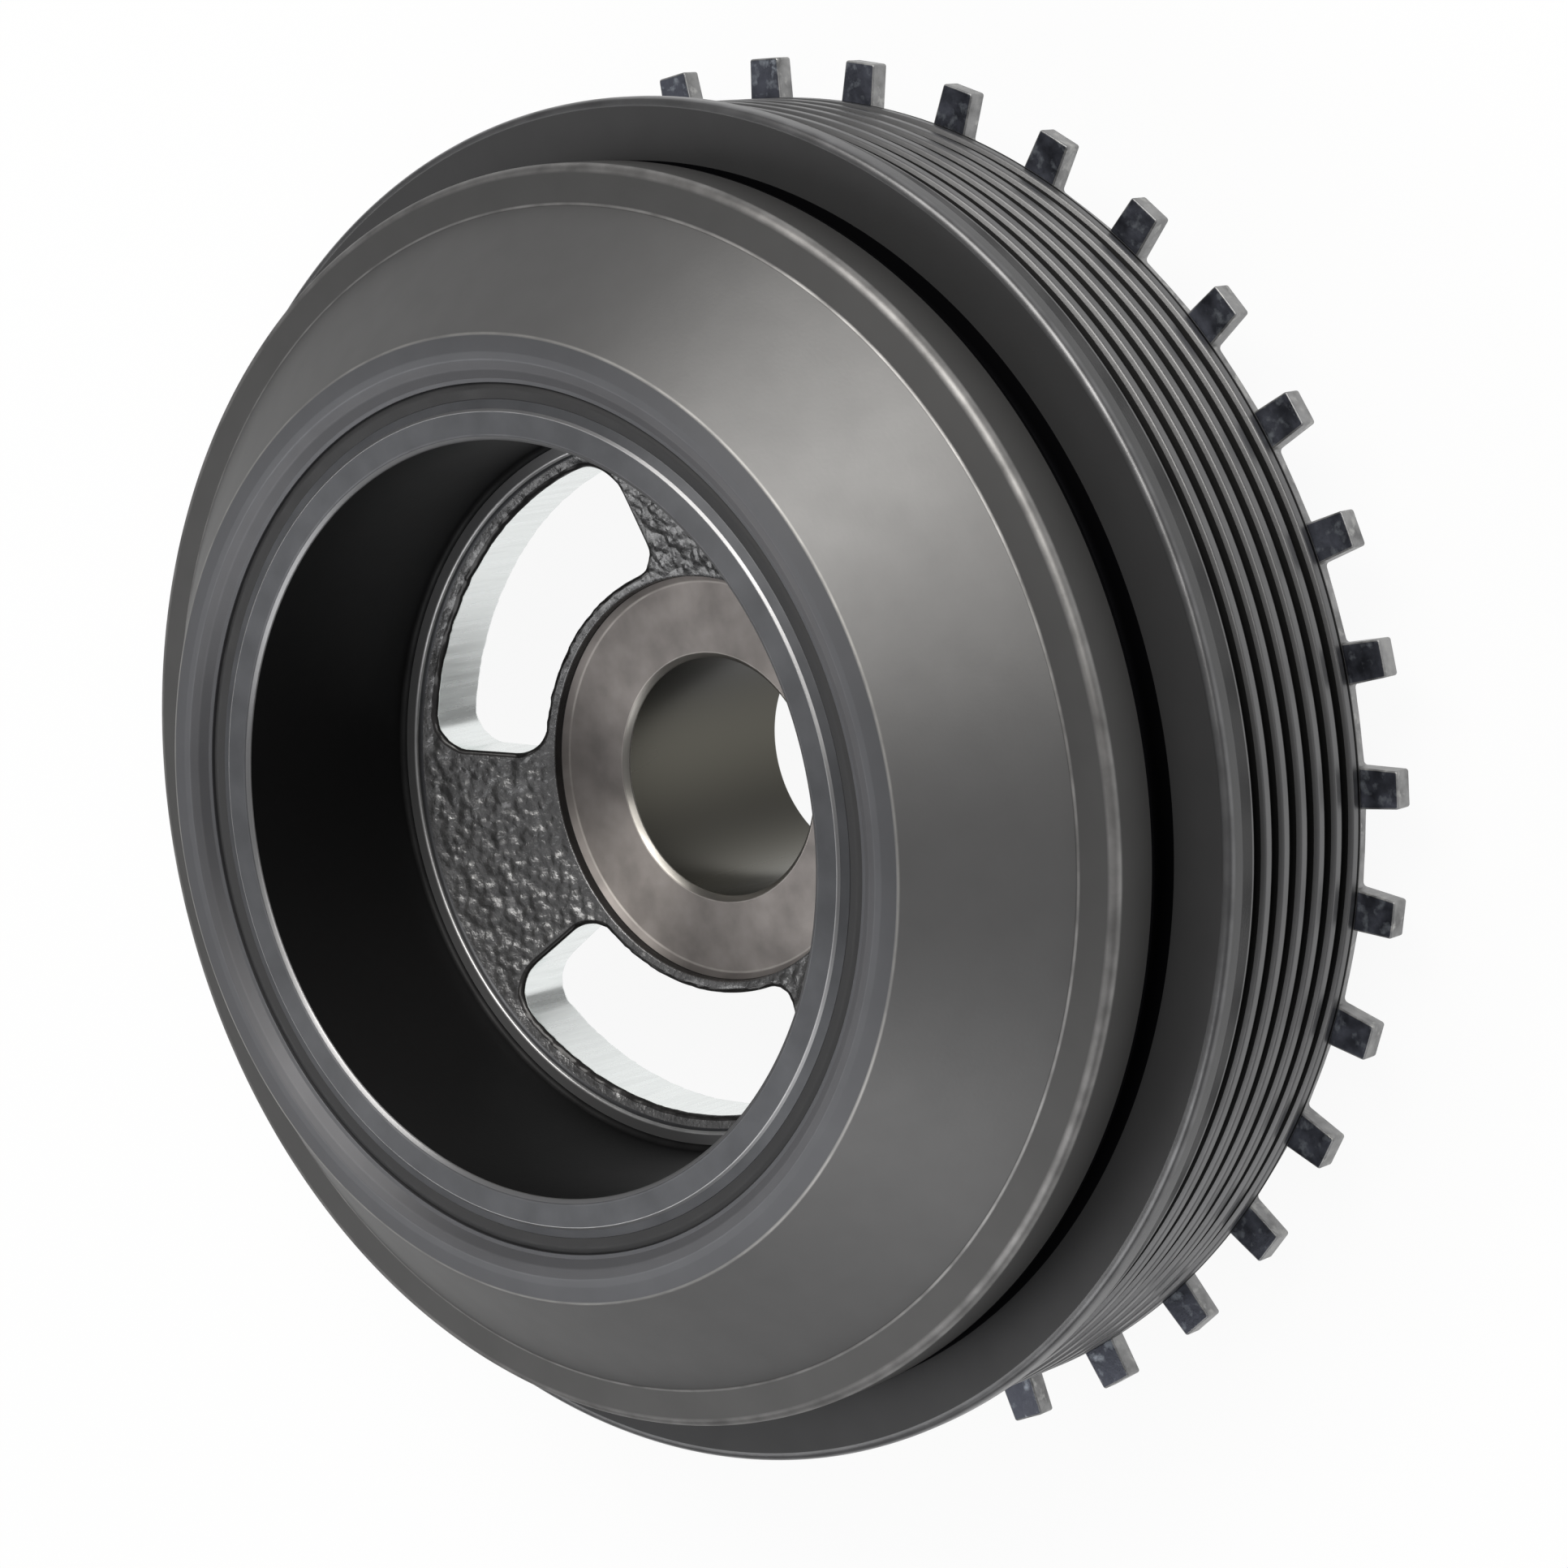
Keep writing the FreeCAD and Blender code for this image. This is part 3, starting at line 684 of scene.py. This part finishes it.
def wheel_outline():
    # After each tooth the root runs on to the next, and past the empty place.
    half = tooth_outline()
    whole = [Vector((p.x, -p.y)) for p in reversed(half)] + half[1:]
    foot = math.atan2(half[-1].y, half[-1].x)
    step = math.tau / TOOTH_PLACES
    root_steps = 5
    ring = []
    for place in range(TOOTH_PLACES):
        middle = math.radians(FIRST_TOOTH) + place * step
        start, end = foot, step - foot
        if place < TEETH:
            ring += [Vector((p.x * math.cos(middle) - p.y * math.sin(middle),
                             p.x * math.sin(middle) + p.y * math.cos(middle))) for p in whole]
        else:
            start = -step / 2
        if place == TEETH - 1:
            end = step / 2
        for k in range(1 if place < TEETH else 0, root_steps):
            angle = middle + start + (end - start) * k / root_steps
            ring.append(Vector((WHEEL_ROOT * math.cos(angle), WHEEL_ROOT * math.sin(angle))))
    return ring


def drawn_in(ring, offset, outward):
    # The ring moved in from its edge by the offset, square to the edge.
    moved = []
    count = len(ring)
    for k, point in enumerate(ring):
        # The first point's neighbour before it is ring[-1].
        along = (ring[(k + 1) % count] - ring[k - 1]).normalized()
        moved.append(point + Vector((-along.y, along.x)) * offset * outward)
    return moved


trigger_wheel = new_skin()
press_round = quarter_round(PRESS_EDGE, 3)
levels = [(inset, WHEEL_FRONT_Z - drop) for inset, drop in press_round]
levels += [(inset, WHEEL_BACK_Z + drop) for inset, drop in reversed(press_round)]
edge_bends = (1, 2, 5, 6)
for ring, side in ((wheel_outline(), 1), (circle(WHEEL_BORE), -1)):
    start = len(trigger_wheel["verts"])
    for row, (inset, height) in enumerate(levels):
        wear_and_highlight = EDGE_WEAR if row in edge_bends else 0
        for point in drawn_in(ring, inset, side):
            add_point(trigger_wheel, point.x, point.y, height, wear_and_highlight)
    for row in range(len(levels) - 1):
        low = start + row * len(ring)
        add_band(trigger_wheel, low, low + len(ring), len(ring), sheared_steel)

# The two flat faces, between the pressed edges.
plate_rings = [drawn_in(wheel_outline(), PRESS_EDGE, 1),
               drawn_in(circle(WHEEL_BORE), PRESS_EDGE, -1)]
plate, plate_faces = flat_net(plate_rings, plate_rings[0])
for height in (WHEEL_FRONT_Z, WHEEL_BACK_Z):
    add_net(trigger_wheel, plate, plate_faces, [height] * len(plate), plate_steel)
made_piece("trigger_wheel_stamping", trigger_wheel, "trigger_wheel")


# Studio
# A pale floor with a broad soft key light to the right of the camera and three
# weaker ones round the part. The metal shows the floor as white as the camera does.
FLOOR_HALF, FLOOR_GLOW = 4, 0.93


def studio_floor():
    material, tree, shader = finish_nodes("studio floor", (0.86, 0.86, 0.86), 0.0, 0.8)
    place = tree.nodes.new("ShaderNodeTexCoord").outputs["Object"]
    paper = bumped(tree, speckle(tree, place, 2 * MM), 0.05 * MM, strength=0.2)
    tree.links.new(paper, shader.inputs["Normal"])
    glow = tree.nodes.new("ShaderNodeEmission")
    glow.inputs["Strength"].default_value = 1.0
    seen = tree.nodes.new("ShaderNodeLightPath")
    either = tree.nodes.new("ShaderNodeMath")
    either.operation = "MAXIMUM"
    tree.links.new(seen.outputs["Is Camera Ray"], either.inputs[0])
    tree.links.new(seen.outputs["Is Glossy Ray"], either.inputs[1])
    share = tree.nodes.new("ShaderNodeMath")
    share.operation = "MULTIPLY"
    share.inputs[1].default_value = FLOOR_GLOW
    mix = tree.nodes.new("ShaderNodeMixShader")
    tree.links.new(either.outputs[0], share.inputs[0])
    tree.links.new(share.outputs[0], mix.inputs["Fac"])
    tree.links.new(shader.outputs[0], mix.inputs[1])
    tree.links.new(glow.outputs[0], mix.inputs[2])
    tree.links.new(mix.outputs[0], tree.nodes["Material Output"].inputs["Surface"])
    return material


floor_mesh = bpy.data.meshes.new("floor")
corners = [(x * FLOOR_HALF, y * FLOOR_HALF, 0) for x, y in ((-1, -1), (1, -1), (1, 1), (-1, 1))]
floor_mesh.from_pydata(corners, [], [(0, 1, 2, 3)])
floor_mesh.materials.append(studio_floor())
floor = bpy.data.objects.new("floor", floor_mesh)
scene.collection.objects.link(floor)

LIGHT_AIM = Vector((0, 0, 0.035))
LIGHT_DISTANCE = 1.2
WHITE, WARM_WHITE = (1, 1, 1), (1, 0.98, 0.945)


def softbox(name, azimuth, elevation, width, height, watts, colour):
    lamp = bpy.data.lights.new(name, "AREA")
    lamp.shape = "RECTANGLE"
    lamp.size = width
    lamp.size_y = height
    lamp.energy = watts
    lamp.color = colour
    light = bpy.data.objects.new(name, lamp)
    turn, lift = math.radians(azimuth), math.radians(elevation)
    level, height_share = math.cos(lift), math.sin(lift)
    reach = Vector((math.cos(turn) * level, math.sin(turn) * level, height_share)) * LIGHT_DISTANCE
    light.location = LIGHT_AIM + reach
    light.rotation_mode = "QUATERNION"
    light.rotation_quaternion = (-reach).to_track_quat("-Z", "Y")
    scene.collection.objects.link(light)


softbox("key light", 330, 45, 0.9, 0.65, watts=9, colour=WARM_WHITE)
softbox("near light", 294, 48, 0.8, 0.5, watts=3.6, colour=WARM_WHITE)
softbox("far light", 92, 48, 0.8, 0.5, watts=3.2, colour=WHITE)
softbox("left light", 172, 46, 0.8, 0.6, watts=3.2, colour=WHITE)

# The air gives a weak grey light and shows as white to the camera.
AIR_GREY = (0.28, 0.28, 0.285)
world = bpy.data.worlds.new("studio")
world.use_nodes = True
sky = world.node_tree
air = sky.nodes["Background"]
air.inputs["Color"].default_value = (*AIR_GREY, 1)
air.inputs["Strength"].default_value = 1.0
seen_air = sky.nodes.new("ShaderNodeBackground")
seen_air.inputs["Color"].default_value = (*WHITE, 1)
ray = sky.nodes.new("ShaderNodeLightPath")
choice = sky.nodes.new("ShaderNodeMixShader")
sky.links.new(ray.outputs["Is Camera Ray"], choice.inputs["Fac"])
sky.links.new(air.outputs[0], choice.inputs[1])
sky.links.new(seen_air.outputs[0], choice.inputs[2])
sky.links.new(choice.outputs[0], sky.nodes["World Output"].inputs["Surface"])
scene.world = world
scene.view_settings.view_transform = "Standard"


# Camera
# The view that the photograph was taken from, rolled so that the crank axis
# leans to the lower left.
CAMERA_AT = Vector((-0.03936, -0.35569, 0.43258))
CAMERA_FORWARD = Vector((0.06706, 0.64974, -0.7572))
CAMERA_ROLL = math.radians(103.248)
camera = bpy.data.objects.new("camera", bpy.data.cameras.new("camera"))
camera.data.lens = 101.553
camera.data.sensor_width = 36
camera.data.clip_start = 0.01
camera.location = CAMERA_AT
camera.rotation_mode = "QUATERNION"
level_view = CAMERA_FORWARD.to_track_quat("-Z", "Y")
camera.rotation_quaternion = level_view @ Quaternion((0, 0, 1), -CAMERA_ROLL)
scene.collection.objects.link(camera)
scene.camera = camera
